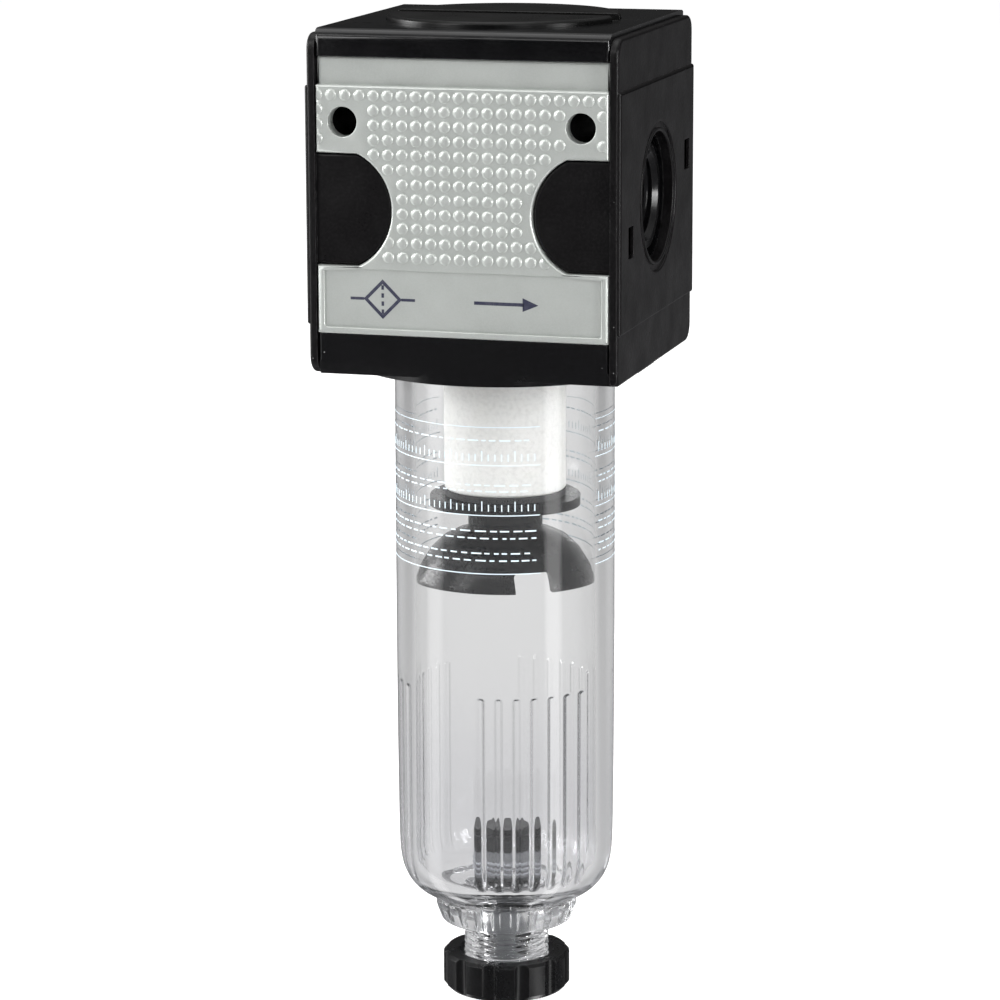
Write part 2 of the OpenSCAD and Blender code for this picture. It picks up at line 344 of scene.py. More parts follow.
def black_plastic(name, base, rough=0.5, grain=2600, grain_depth=0.000035, grain_str=0.35, specks=True, edge_wear_and_sheen=0.5, mottle=0.25, spec=0.22):
    m = Mat(name)
    g1 = m.noise(grain, 3, 0.6)
    g2 = m.voronoi(grain * 0.8).outputs["Distance"]
    h = m.math("ADD", m.math("MULTIPLY", g1, 0.6), m.math("MULTIPLY", g2, 0.5))
    big = m.noise(90, 3, 0.5)
    fine = m.noise(grain * 1.3, 1, 0.5)
    dark = tuple(c * (1 - mottle) for c in base[:3]) + (1,)
    lite = tuple(c * (1 + mottle) for c in base[:3]) + (1,)
    col = m.mix(m.ramp(big, 0.3, 0.7), dark, lite)
    spk = m.ramp(fine, 0.42, 0.72, 0, 0.55)
    col = m.mix(spk, col, tuple(min(1, c * 2.6) for c in base[:3]) + (1,))
    if specks:
        v = m.voronoi(520)
        cell = m.n("ShaderNodeSeparateColor"); m.l(v.outputs["Color"], cell.inputs[0])
        keep = m.math("GREATER_THAN", cell.outputs[0], 0.955)
        dot = m.math("LESS_THAN", v.outputs["Distance"], 0.055)
        col = m.mix(m.math("MULTIPLY", m.math("MULTIPLY", keep, dot), 0.5), col, lin(150, 150, 150))
    # lighter edges, broken up by noise: partly rubbed wear, partly a painted highlight along the edges
    if edge_wear_and_sheen:
        ed = m.edge(0.00025)
        wear = m.math("MULTIPLY", m.math("MULTIPLY", ed, m.ramp(m.noise(700, 3), 0.35, 0.65)), edge_wear_and_sheen)
        col = m.mix(wear, col, lin(88, 87, 88))
    ro = m.math("ADD", m.ramp(m.noise(160, 4), 0.3, 0.7, rough - 0.06, rough + 0.06), m.math("MULTIPLY", m.math("SUBTRACT", fine, 0.5), 0.12))
    m.set(Base_Color=col, Roughness=ro, Normal=m.bump(h, grain_str, grain_depth))
    m.p.inputs["Specular IOR Level"].default_value = spec
    return m.m


def plate_material(name="plate_grey"):
    m = Mat(name)
    fl = m.voronoi(5200)
    sp = m.n("ShaderNodeSeparateColor"); m.l(fl.outputs["Color"], sp.inputs[0])
    cloud = m.noise(120, 3, 0.55)
    col = m.mix(m.ramp(cloud, 0.3, 0.7), lin(184, 188, 184), lin(192, 196, 192))
    col = m.mix(m.ramp(sp.outputs[0], 0.0, 1.0, 0.0, 0.35), col, lin(200, 203, 201))
    # painted highlight: the plate's edges are mixed towards a lighter grey
    ed = m.edge(0.0002)
    col = m.mix(m.math("MULTIPLY", ed, 0.18), col, lin(225, 227, 225))
    gr = m.noise(2400, 2, 0.6)
    m.set(Base_Color=col, Roughness=m.ramp(m.noise(300, 3), 0.3, 0.7, 0.29, 0.36), Normal=m.bump(gr, 0.10, 0.00002))
    m.p.inputs["Metallic"].default_value = 0.55
    return m.m


def clear_material(name="clear_bowl"):
    m = Mat(name)
    wave = m.noise(55, 2, 0.5)
    fine = m.noise(900, 2, 0.5)
    h = m.math("ADD", wave, m.math("MULTIPLY", fine, 0.04))
    nrm = m.bump(h, 0.06, 0.0004)
    tint = m.mix(m.ramp(m.noise(30, 2), 0.3, 0.7), (0.963, 0.963, 0.963, 1), (0.98, 0.98, 0.98, 1))
    # the ribbed lower part is tinted a little darker and bluer
    zz = m.n("ShaderNodeSeparateXYZ")
    m.l(m.co, zz.inputs[0])
    low = m.math("MULTIPLY", m.ramp(zz.outputs["Z"], -0.080, -0.100), m.ramp(zz.outputs["Z"], -0.121, -0.117))
    tint = m.mix(low, tint, (0.905, 0.905, 0.915, 1))
    # collar and neck are less polished
    dull = m.math("MULTIPLY", m.math("MULTIPLY", m.ramp(zz.outputs["Z"], -0.1188, -0.1200), m.ramp(zz.outputs["Z"], -0.1246, -0.1236, 0.25, 1.0)), 0.13)
    m.set(Base_Color=tint, Roughness=m.math("ADD", m.ramp(m.noise(400, 3), 0.35, 0.75, 0.0, 0.035), dull), Normal=nrm)
    m.p.inputs["Transmission Weight"].default_value = 1.0
    m.p.inputs["IOR"].default_value = 1.58
    tr = m.n("ShaderNodeBsdfTransparent")
    tr.inputs[0].default_value = (0.90, 0.91, 0.92, 1)
    lp = m.n("ShaderNodeLightPath")
    mixs = m.n("ShaderNodeMixShader")
    m.l(lp.outputs["Is Shadow Ray"], mixs.inputs[0])
    m.l(m.p.outputs[0], mixs.inputs[1])
    m.l(tr.outputs[0], mixs.inputs[2])
    m.l(mixs.outputs[0], m.out.inputs[0])
    va = m.n("ShaderNodeVolumeAbsorption")
    va.inputs["Color"].default_value = (0.31, 0.32, 0.34, 1)
    va.inputs["Density"].default_value = 32.0
    m.l(va.outputs[0], m.out.inputs["Volume"])
    return m.m


def sinter_material(name="sinter_white"):
    m = Mat(name)
    v = m.voronoi(1900, "SMOOTH_F1")
    v2 = m.voronoi(3600)
    n1 = m.noise(260, 4, 0.6)
    h = m.math("SUBTRACT", 1.0, m.math("ADD", m.math("MULTIPLY", v.outputs["Distance"], 0.8), m.math("MULTIPLY", v2.outputs["Distance"], 0.35)))
    # painted shade: the pits of the bumped surface are darkened
    pore_shade = m.ramp(v.outputs["Distance"], 0.35, 0.75)
    col = m.mix(m.math("MULTIPLY", pore_shade, 0.30), (0.70, 0.695, 0.67, 1), (0.44, 0.437, 0.42, 1))
    col = m.mix(m.ramp(n1, 0.35, 0.75, 0, 0.16), col, (0.57, 0.565, 0.545, 1))
    m.set(Base_Color=col, Roughness=0.85, Normal=m.bump(h, 0.55, 0.00012))
    m.p.inputs["Subsurface Weight"].default_value = 0.15
    m.p.inputs["Subsurface Radius"].default_value = (0.0012, 0.0011, 0.001)
    m.p.inputs["Subsurface Scale"].default_value = 1.0
    return m.m


def print_material(name, colour, wear=0.25):
    m = Mat(name)
    n = m.noise(1500, 3, 0.6)
    m.set(Base_Color=m.mix(m.ramp(n, 0.4, 0.75, 0, wear), colour, tuple(min(1, c * 0.8 + 0.12) for c in colour[:3]) + (1,)),
          Roughness=m.ramp(n, 0.3, 0.7, 0.35, 0.5))
    return m.m


def rubber_material(name="seal_rubber"):
    m = Mat(name)
    n = m.noise(1800, 3, 0.6)
    m.set(Base_Color=m.mix(m.ramp(n, 0.3, 0.7), lin(20, 20, 21), lin(33, 33, 34)), Roughness=m.ramp(m.noise(500), 0.3, 0.7, 0.55, 0.7),
          Normal=m.bump(n, 0.3, 0.00003))
    return m.m


def metal_material(name, base, rough, scratch_axis="z"):
    m = Mat(name)
    mp = m.n("ShaderNodeMapping")
    mp.inputs["Scale"].default_value = (1, 1, 40) if scratch_axis == "z" else (40, 40, 1)
    m.l(m.co, mp.inputs[0])
    n = m.noise(300, 4, 0.6, mp.outputs[0])
    m.set(Base_Color=m.mix(m.ramp(n, 0.3, 0.7), tuple(c * 0.85 for c in base[:3]) + (1,), base), Metallic=1.0,
          Roughness=m.ramp(n, 0.3, 0.7, rough - 0.08, rough + 0.08), Normal=m.bump(n, 0.15, 0.00002))
    return m.m


M_cover = black_plastic("cover_black", lin(9, 8, 9), rough=0.35, grain=1700, grain_str=0.6, grain_depth=0.00005, mottle=0.06)
M_cast = black_plastic("die_cast_black", lin(6, 6, 7), rough=0.2, grain=1500, grain_depth=0.00002, grain_str=0.25, edge_wear_and_sheen=0.4, spec=0.4)
M_plug = black_plastic("plug_black", lin(9, 9, 9), rough=0.32, grain=2200, edge_wear_and_sheen=0.4)
M_inner = black_plastic("inner_black", lin(6, 6, 7), rough=0.25, grain=1800, grain_depth=0.00001, grain_str=0.2, specks=False, edge_wear_and_sheen=0.2)
M_knob = black_plastic("knob_black", lin(9, 9, 10), rough=0.30, grain=2400, edge_wear_and_sheen=0.5, spec=0.3)
M_plate = plate_material()
M_grey = black_plastic("stem_grey", lin(120, 121, 124), rough=0.35, grain=1800, grain_depth=0.00001, grain_str=0.2, specks=False, edge_wear_and_sheen=0.1, spec=0.4)
M_clear = clear_material()


def stem_material(name="stem_two_tone"):
    m = Mat(name)
    z = m.n("ShaderNodeSeparateXYZ")
    geo = m.n("ShaderNodeNewGeometry")
    m.l(geo.outputs["Position"], z.inputs[0])
    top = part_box("drain_stem")[1][2]
    n = m.noise(1500, 3, 0.6)
    grey = m.mix(m.ramp(n, 0.3, 0.7), lin(84, 85, 87), lin(104, 105, 107))
    dark = m.mix(m.ramp(n, 0.3, 0.7), lin(12, 12, 13), lin(20, 20, 21))
    m.set(Base_Color=m.mix(m.ramp(z.outputs["Z"], top - 0.0036, top - 0.0034), grey, dark),
          Roughness=m.ramp(m.noise(500, 3), 0.3, 0.7, 0.3, 0.42), Normal=m.bump(n, 0.2, 0.00001))
    return m.m


M_stem = stem_material()
M_sinter = sinter_material()
M_rubber = rubber_material()
M_brass = metal_material("rod_brass", (0.72, 0.55, 0.28, 1), 0.32)
M_steel = metal_material("clip_steel", (0.55, 0.55, 0.56, 1), 0.3, "x")
M_ink = print_material("panel_ink", lin(38, 40, 62))
M_mark = print_material("bowl_ink", lin(214, 228, 236), 0.35)

NODE_MAT = {"head_body": M_cast, "top_plug": M_plug, "top_plug_seal": M_rubber, "guide_vanes": M_inner, "filter_element": M_sinter,
            "upper_gasket": M_rubber, "lower_gasket": M_rubber, "tie_rod": M_brass, "baffle": M_inner, "bowl": M_clear, "bowl_seal": M_rubber,
            "drain_stem": M_stem, "drain_seal": M_rubber, "stem_ring": M_rubber, "drain_knob": M_knob, "knob_clip": M_steel,
            "front_plate": M_plate, "rear_plate": M_plate, "inlet_cover": M_cover, "outlet_cover": M_cover}
BEVEL = {"head_body": 0.16, "top_plug": 0.18, "guide_vanes": 0.08, "baffle": 0.14, "drain_stem": 0.1, "drain_knob": 0.2, "tie_rod": 0.1, "knob_clip": 0.05}


def shade_group():
    """Welds split vertices and shades smooth by angle, leaving the node's own mesh as it is."""
    g = bpy.data.node_groups.new("smooth_by_angle", "GeometryNodeTree")
    g.interface.new_socket("Geometry", in_out="INPUT", socket_type="NodeSocketGeometry")
    g.interface.new_socket("Geometry", in_out="OUTPUT", socket_type="NodeSocketGeometry")
    gi, go = g.nodes.new("NodeGroupInput"), g.nodes.new("NodeGroupOutput")
    rm = g.nodes.new("GeometryNodeRemoveAttribute")
    rm.inputs["Name"].default_value = "custom_normal"
    mg = g.nodes.new("GeometryNodeMergeByDistance")
    mg.inputs["Distance"].default_value = 1e-6
    sf = g.nodes.new("GeometryNodeSetShadeSmooth")
    sf.domain = "FACE"
    sf.inputs["Shade Smooth"].default_value = True
    ea = g.nodes.new("GeometryNodeInputMeshEdgeAngle")
    gt = g.nodes.new("FunctionNodeCompare")
    gt.data_type = "FLOAT"
    gt.operation = "GREATER_THAN"
    gt.inputs["B"].default_value = R(30)
    se = g.nodes.new("GeometryNodeSetShadeSmooth")
    se.domain = "EDGE"
    se.inputs["Shade Smooth"].default_value = False
    g.links.new(ea.outputs["Unsigned Angle"], gt.inputs["A"])
    g.links.new(gi.outputs[0], rm.inputs["Geometry"])
    g.links.new(rm.outputs[0], mg.inputs["Geometry"])
    g.links.new(mg.outputs[0], sf.inputs["Geometry"])
    g.links.new(sf.outputs[0], se.inputs["Geometry"])
    g.links.new(gt.outputs[0], se.inputs["Selection"])
    g.links.new(se.outputs[0], go.inputs[0])
    return g


SHADE = shade_group()
for name, ob in frame["nodes"].items():
    if ob.material_slots:
        for sl in ob.material_slots:
            sl.material = NODE_MAT[name]
    else:
        ob.data.materials.append(NODE_MAT[name])
    w = ob.modifiers.new("shade", "NODES")
    w.node_group = SHADE
    if name in BEVEL:
        d = ob.modifiers.new("flat", "DECIMATE")
        d.decimate_type = "DISSOLVE"
        d.angle_limit = R(0.8)
        b = ob.modifiers.new("bevel", "BEVEL")
        b.width = BEVEL[name] * 0.001
        b.segments = 2
        b.limit_method = "ANGLE"
        b.angle_limit = R(32)
        b.use_clamp_overlap = True
        b.harden_normals = True
        b.miter_outer = "MITER_ARC"


def put(ob, mat, body, slot, *nodes):
    ob.data.materials.clear()
    ob.data.materials.append(mat)
    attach(ob, body)
    if nodes:
        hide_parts(*nodes)
        lo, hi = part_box(nodes[0])
        pts = np.array([v.co for v in ob.data.vertices])
        off = 1000 * max(np.abs(pts.min(0) - np.array(lo)).max(), np.abs(pts.max(0) - np.array(hi)).max())
        print("stand-in %s differs from its node's box by %.2f mm" % (ob.name, off))
        if off > 0.6:
            raise SystemExit("stand-in %s no longer fits its node" % ob.name)
    return ob


# ------------------------------------------------------------------ face plates
HX, LZ, LH, LCX, LR, GAP = 24.15, -0.55, 8.75, 21.5, 9.7, 0.25
BOLT = [m for m in frame["record"].get("mounts", []) if m.get("name") == "wall_bolts"]
BOLT_R = BOLT[0]["dims"]["hole_r_mm"] if BOLT else 2.4


def d_arc(s, g=GAP, n=36):
    """The round end of a lug cut-out on side s, from its lower to its upper corner."""
    r, h = LR + g, LH + g
    dx = math.sqrt(r * r - h * h)
    a0 = math.atan2(-h, -dx); a1 = math.atan2(h, -dx)
    a0 += 2 * math.pi if a0 < 0 else 0
    pts = []
    for k in range(n + 1):
        a = a0 + (a1 - a0) * k / n
        pts.append((s * (LCX + r * math.cos(a)), LZ + r * math.sin(a)))
    return pts


def zone_outline():
    """Lower zone of a plate with both lug cut-outs, counter-clockwise in x, z."""
    lo, hi = LZ - LH - GAP, LZ + LH + GAP
    P = rrect(-HX, -20.57, HX, 19.35, 0.4, 3).tolist()
    bl, br, tr, tl = P[0:4], P[4:8], P[8:12], P[12:16]
    right = [(HX, lo)] + d_arc(1) + [(HX, hi)]
    left = [(-HX, hi)] + d_arc(-1)[::-1] + [(-HX, lo)]
    return np.array(bl + br + right + tr + tl + left)


def plate_place(sign):
    # sign -1: front plate, outer face towards -y; +1: rear plate
    def f(u, v, w, y0=25.0):
        return (u, sign * (y0 - w), v)
    return f


def dome(cx, cz, r, h, seg=20, rings=6, sink=0.35):
    """Low round pillow, closed, in plane coordinates with height above the face."""
    v, f = [], []
    rows = [(r, -sink), (r, 0.0)]
    for k in range(1, rings):
        t = k / rings
        rr = r * (1 - t ** 1.0)
        rows.append((r * math.cos(t * math.pi / 2) ** 0.9, h * math.sin(t * math.pi / 2)))
    for rr, z in rows:
        for j in range(seg):
            a = 2 * math.pi * j / seg
            v.append((cx + rr * math.cos(a), cz + rr * math.sin(a), z))
    for k in range(len(rows) - 1):
        for j in range(seg):
            i = (j + 1) % seg
            f.append((k * seg + j, k * seg + i, (k + 1) * seg + i, (k + 1) * seg + j))
    top = len(v); v.append((cx, cz, h))
    last = (len(rows) - 1) * seg
    for j in range(seg):
        f.append((last + j, last + (j + 1) % seg, top))
    f.append(tuple(range(seg))[::-1])
    return v, f


def d_gap(x, z):
    """How far a point stands clear of the nearer lug cut-out."""
    g = min(math.hypot(x - sx * LCX, z - LZ) - (LR + GAP) for sx in (-1, 1))
    return max(g, abs(z - LZ) - (LH + GAP)) if abs(x) > LCX - LR else g


def bump_field():
    """Domes of the raised pattern, as one mesh; the region they are cut to is built separately."""
    xs = [-0.3 + 2.35 * k for k in range(-10, 11)]
    zs = [17.78 - 2.335 * i for i in range(12)]
    m = Mesh()
    for z in zs:
        for x in xs:
            if abs(x) < 24.3 and all(math.hypot(x - sx * 19.6, z - 13.5) > 3.95 for sx in (-1, 1)) and d_gap(x, z) > 0.55 and z > -8.9:
                v, f = dome(x, z, 0.98, 0.36)
                m.add([(p[0], -25.0 - p[2], p[1]) for p in v], f)
    return m


def make_plate(name, sign, front):
    place = plate_place(sign)
    holes = [circle2(s * 19.6, 13.5, BOLT_R, 64) for s in (-1, 1)]
    bh = [0.16, 0.16]
    if front:
        panel = rrect(-22.9, -19.5, 22.9, -10.0, (0.5, 0.25, 0.25, 0.25), 3)
        holes.append(panel); bh.append(0.16)
    m = Mesh()
    out = zone_outline()
    v, f = slab(out, holes, 2.5, lambda P: np.where(np.abs(P[:, 0]) > HX - 0.02, 0.85, 0.45), bh, place, rings=6)
    m.add(v, f)
    # upper band, set back
    band = rrect(-HX + 0.03, 18.6, HX - 0.03, 23.8, (0.05, 0.05, 0.35, 0.35), 3)
    v, f = slab(band, [], 1.4, 0.42, 0, lambda u, v_, w: place(u, v_, w + 1.1), rings=5)
    m.add(v, f)
    if front:
        fl = rrect(-23.6, -20.2, 23.6, -9.6, 0.1, 2)
        v, f = slab(fl, [], 1.5, 0.05, 0, lambda u, v_, w: place(u, v_, w + 0.42), rings=2)
        m.add(v, f)
    return m


fp = make_plate("front", -1, True)
domes = bump_field().obj("domes_tmp", weighted=False)
# the pattern stops short of the plate's edges, the holes' rings and the lug cut-outs
IN, ZB = 0.5, -9.25
rr, zt = LR + GAP + IN, LZ + LH + GAP + IN
a_lo, a_hi = math.asin((ZB - LZ) / rr), math.asin((zt - LZ) / rr)
arc_r = [(LCX - rr * math.cos(t), LZ + rr * math.sin(t)) for t in np.linspace(a_lo, a_hi, 40)]
reg = arc_r + [(HX - IN, zt), (HX - IN, 19.35 - IN), (IN - HX, 19.35 - IN), (IN - HX, zt)] + [(-x, z) for x, z in arc_r[::-1]]
v, f = slab(np.array(reg), [], 2.0, 0.01, 0, lambda u, v_, w: (u, -(26.0 - w), v_), rings=1)
region = Mesh().add(v, f).obj("region_tmp", weighted=False)
dv, df = apply_boolean(domes, region, "INTERSECT")
fp.add(dv, df)
front_plate = put(fp.obj("front_plate_moulding", 32), M_plate, "head", "plate_grey", "front_plate")
rp = make_plate("rear", 1, False)
rear_plate = put(rp.obj("rear_plate_moulding", 32), M_plate, "head", "plate_grey", "rear_plate")

# generic printed symbol on the name panel: filter diamond, flow line and arrow
ink = Mesh()


def ink_bar(x0, z0, x1, z1, wd):
    d = np.array([x1 - x0, z1 - z0]); L = np.linalg.norm(d); d /= L; n = np.array([-d[1], d[0]]) * wd / 2
    a, b = np.array([x0, z0]), np.array([x1, z1])
    P = np.array([a + n, a - n, b - n, b + n])
    v, f = slab(P, [], 0.06, 0.01, 0, lambda u, v_, w: (u, -(24.61 - w), v_), rings=1)
    ink.add(v, f)


def ink_poly(P, holes=()):
    v, f = slab(np.array(P), list(holes), 0.06, 0.01, 0.01, lambda u, v_, w: (u, -(24.61 - w), v_), rings=1)
    ink.add(v, f)


cx, cz, q = -13.2, -14.75, 3.2
ink_poly([(cx - q, cz), (cx, cz - q), (cx + q, cz), (cx, cz + q)], [[(cx - q + 0.75, cz), (cx, cz + q - 0.75), (cx + q - 0.75, cz), (cx, cz - q + 0.75)]])
for k in range(4):
    z0 = cz + 2.25 - k * 1.3
    ink_bar(cx, z0, cx, z0 - 0.72, 0.42)
ink_bar(cx - q - 2.2, cz, cx - q + 0.1, cz, 0.45)
ink_bar(cx + q - 0.1, cz, cx + q + 2.2, cz, 0.45)
ink_bar(2.0, cz, 10.2, cz, 0.55)
ink_poly([(10.0, cz - 1.1), (12.6, cz), (10.0, cz + 1.1)])
put(ink.obj("panel_symbol", weighted=False), M_ink, "head", "plate_grey")


# ------------------------------------------------------------------ side covers
def make_cover(side):
    """side +1: outlet cover on +x; -1: the same turned half round."""
    def px(u, v_, w, x0=25.6):
        return (side * (x0 - w), side * u, v_)
    m = Mesh()
    port = lambda r: circle2(0, 0, r, 96)
    winA = rrect(-19.6, -7.6, -16.4, -2.6, 0.25, 3)
    winB = rrect(18.0, 2.15, 21.5, 7.1, 0.25, 3)
    out = rrect(-24.85, -27.4, 24.85, 27.4, (1.6, 3.0, 2.6, 3.0), 8)
    v, f = slab(out, [port(10.55), winA, winB], 1.35, 0.55, [0.2, 0.15, 0.15], px, rings=4)
    m.add(v, f)
    mid = rrect(-24.72, -19.3, 24.72, 19.2, (0.35, 0.35, 0.35, 0.35), 3)
    v, f = slab(mid, [port(12.1), winA, winB], 1.0, 0.5, [0.35, 0.12, 0.12], lambda u, v_, w: px(u, v_, w, 26.0), rings=4)
    m.add(v, f)
    v, f = slab(port(11.2), [port(10.5)], 1.7, 0.28, [0.3], lambda u, v_, w: px(u, v_, w, 25.97), rings=5)
    m.add(v, f)
    # lugs round the front and back
    for s in (-1, 1):
        arc = d_arc(1, 0.0)
        P = [(25.3, LZ - LH)] + [(25.3, LZ + LH)] + arc[::-1]
        P = np.array(P)
        if area2(P) < 0:
            P = P[::-1]
        v, f = slab(P, [], 1.8, 0.3, 0, lambda u, v_, w: (side * u, s * (24.3 - w), v_), rings=4)
        m.add(v, f)
    return m


put(make_cover(1).obj("outlet_cover_moulding", 32), M_cover, "head", "cover_black", "outlet_cover")
put(make_cover(-1).obj("inlet_cover_moulding", 32), M_cover, "head", "cover_black", "inlet_cover")


# ------------------------------------------------------------------ port threads
def thread_coil(r_wall, depth, pitch, a0, a1, inward=True, seg=72, taper=0.6):
    """Helical ridge as one closed strip: returns points as (radius, along, angle) rows."""
    turns = (a1 - a0) / pitch
    n = int(turns * seg)
    rows = []
    for i in range(n + 1):
        t = i / n
        k = min(1, t * turns / taper, (1 - t) * turns / taper)
        ang = 2 * math.pi * turns * t
        c = a0 + (a1 - a0) * t
        h = depth * max(k, 0.02)
        s = -1 if inward else 1
        w = pitch * 0.44
        rows.append([(r_wall - s * 0.12, c - w), (r_wall + s * h, c - w * 0.16), (r_wall + s * h, c + w * 0.16), (r_wall - s * 0.12, c + w)])
        rows[-1].append(ang)
    return rows


def coil_mesh(rows, place):
    v, f = [], []
    for row in rows:
        ang = row[-1]
        for r, a in row[:4]:
            v.append(place(r, a, ang))
    for i in range(len(rows) - 1):
        for k in range(4):
            j = (k + 1) % 4
            f.append((i * 4 + k, i * 4 + j, (i + 1) * 4 + j, (i + 1) * 4 + k))
    f.append((3, 2, 1, 0)); b = (len(rows) - 1) * 4
    f.append((b, b + 1, b + 2, b + 3))
    return v, f


th = Mesh()
for s in (-1, 1):
    rows = thread_coil(6.6, 0.72, 1.337, 15.4, 22.9)
    v, f = coil_mesh(rows, lambda r, a, ang: (s * a, s * r * math.cos(ang), r * math.sin(ang)))
    th.add(v, f)
put(th.obj("port_threads", 40, False), M_cast, "head", "die_cast_black")

# ------------------------------------------------------------------ clear bowl
RIB_W, RIB_TOP, RIB_BOT = 0.85, -81.7, -114.6
rib_angles = [R(33 + 120 * g + 10.7 * (k - 3)) for g in range(3) for k in range(7)]
P_OUT = [(18.0, -14.2), (18.2, -14.4), (18.2, -17.0), (19.3, -17.3), (19.45, -17.6), (19.45, -25.7), (19.2, -26.1), (18.3, -26.5), (18.2, -26.9)]
P_OUT += [(18.2 + 0.06 * k / 8, -26.9 - 42.1 * k / 8) for k in range(1, 9)]
P_OUT += smooth_path([(18.27, -72), (18.2, -92), (18.1, -104), (18.02, -109), (17.86, -112.0), (17.35, -114.5), (16.35, -116.5), (14.9, -118.0), (13.1, -119.0), (12.25, -119.5)], 4).tolist()
P_OUT += [(12.0, -119.65), (11.78, -119.9), (11.78, -120.1), (11.9, -120.3), (11.9, -120.9), (11.9, -121.5), (11.75, -121.95), (11.5, -122.6), (11.16, -123.5), (11.0, -123.8), (10.7, -123.95), (8.0, -123.95), (7.3, -124.0), (7.05, -124.2)]
n_outer = len(P_OUT)
neck_z = np.linspace(-124.3, -131.35, 112)
P_NECK = [(7.17, z) for z in neck_z]
P_IN = [(6.8, -131.6), (3.6, -131.6), (3.4, -131.4), (3.36, -131.0), (3.36, -126.0), (3.36, -119.6), (3.5, -119.4), (4.25, -119.4), (4.4, -119.25), (4.4, -117.15), (4.55, -117.0)]
P_IN += smooth_path([(6.5, -117.0), (9.5, -116.95), (11.6, -116.55), (13.3, -115.6), (14.5, -114.1), (15.05, -112.4), (15.2, -110.8)], 4).tolist()
inner_z0 = -109.0
zs_in = list(np.linspace(-109.0, -83.5, 12)) + list(np.linspace(-83.0, -81.2, 10)) + list(np.linspace(-79, -16.0, 14))
P_IN += [(15.2, z) for z in zs_in]
P_IN += [(15.25, -14.6), (15.5, -14.2)]
PROFILE = P_OUT + P_NECK + P_IN
i_neck0, i_neck1 = n_outer, n_outer + len(P_NECK)


def bowl_r(i, r, z, th):
    out = np.full(len(th), float(r))
    if i_neck0 <= i < i_neck1:
        # screw thread, pitch 1 mm
        ph = (z - th / (2 * math.pi)) % 1.0
        run = min(1.0, (-124.3 - z) / 0.5, max(0.0, (z + 131.6) / 0.6))
        out = 7.16 - 0.3 * (1 - np.cos(2 * math.pi * ph)) * max(0.0, run)
    elif i < n_outer and -123.0 < z < -120.0:
        # grip ribs round the lower collar
        ph = (th * 24 / (2 * math.pi)) % 1.0
        rib = np.clip((np.abs(ph - 0.5) - 0.16) / 0.08, 0, 1)
        k = min(1, (-120.0 - z) / 0.3, (z + 123.0) / 0.9)
        out = r - 0.34 * (1 - rib) * max(0, k)
    elif i >= i_neck1 and r > 12.5 and z < -78:
        add = np.zeros(len(th))
        for a in rib_angles:
            d = (th - a + math.pi) % (2 * math.pi) - math.pi
            s = np.abs(d) * 15.2
            e = 1.6 * max(0.0, z - (RIB_TOP - 0.6), (RIB_BOT + 0.6) - z)
            q = np.minimum(np.sqrt(s ** 2 + e ** 2) / 0.98, 1.0)
            add = np.maximum(add, 0.35 * (0.5 + 0.5 * np.cos(math.pi * q)))
        out = r - add
    return out


v, f = revolve(PROFILE, 720, bowl_r)
bowl = put(make_obj("bowl_clear", v, f, 50), M_clear, "bowl", "clear_bowl", "bowl")

# generic printed rules and dashes on the bowl (no lettering)
marks = Mesh()


def bowl_radius(z):
    return 18.2 + 0.06 * min(1, max(0, (-26.9 - z) / 42.1))


def mark(a0, a1, z0, z1, n=None):
    """Thin curved bar from angle a0 to a1 (degrees from the front towards +x)."""
    n = n or max(2, int(abs(a1 - a0) / 1.5) + 1)
    v, f = [], []
    for k in range(n + 1):
        a = R(a0 + (a1 - a0) * k / n)
        for rr, z in ((0.012, z0), (0.045, z0), (0.045, z1), (0.012, z1)):
            r = bowl_radius(z) + rr
            v.append((r * math.sin(a), -r * math.cos(a), z))
    for k in range(n):
        for q in range(4):
            j = (q + 1) % 4
            f.append((k * 4 + q, k * 4 + j, (k + 1) * 4 + j, (k + 1) * 4 + q))
    f.append((3, 2, 1, 0)); b = n * 4
    f.append((b, b + 1, b + 2, b + 3))
    marks.add(v, f)


def tick_row(a0, a1, z, h, step, long_every):
    """A plain graduated row: fine ticks, a longer one every few."""
    for k in range(int((a1 - a0) / step) + 1):
        a = a0 + k * step
        hh = h * (1.5 if k % long_every == 0 else 1.0)
        mark(a - 0.3, a + 0.3, z, z + hh, 1)


def dash_row(a0, a1, z, h, seedv):
    g = np.random.default_rng(seedv)
    a = a0
    while a < a1 - 2:
        w = float(g.uniform(2.0, 6.0))
        mark(a, min(a + w, a1), z - h / 2, z + h / 2)
        a += w + float(g.uniform(1.4, 2.6))


for (s0, s1, sd) in ((-118, 34, 1), (70, 222, 2)):
    for z in (-42.3, -50.6, -60.3):
        mark(s0, s1, z - 0.08, z + 0.08)
    mark(s0, s1, -36.1, -35.98)
    tick_row(s0 + 3, s1 - 2, -41.6, 1.1, 3.4, 5)
    dash_row(s0 + 3, s1 - 2, -38.2, 0.22, sd * 10 + 1)
    tick_row(s0 + 3, s1 - 2, -49.9, 1.1, 3.4, 5)
    dash_row(s0 + 3, s1 - 2, -45.6, 0.22, sd * 10 + 2)
    dash_row(s0 + 3, s1 - 2, -46.6, 0.22, sd * 10 + 5)
    for i, z in enumerate((-53.2, -54.4, -56.9, -58.1)):
        dash_row(s0 + 3, s1 - 2, z, 0.24, sd * 10 + 6 + i)
put(marks.obj("bowl_print", weighted=False), M_mark, "bowl", "clear_bowl")

# ------------------------------------------------------------------ drain stem thread
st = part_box("drain_stem")
top_z = 1000 * st[1][2]
rows = thread_coil(5.4, 0.32, 0.95, 0.0, 3.3, inward=False, seg=64, taper=0.5)
v, f = coil_mesh(rows, lambda r, a, ang: (r * math.cos(ang), r * math.sin(ang), top_z - 4.9 - a))
put(Mesh().add(v, f).obj("stem_thread", 40, False), M_grey, "stem", "inner_black")

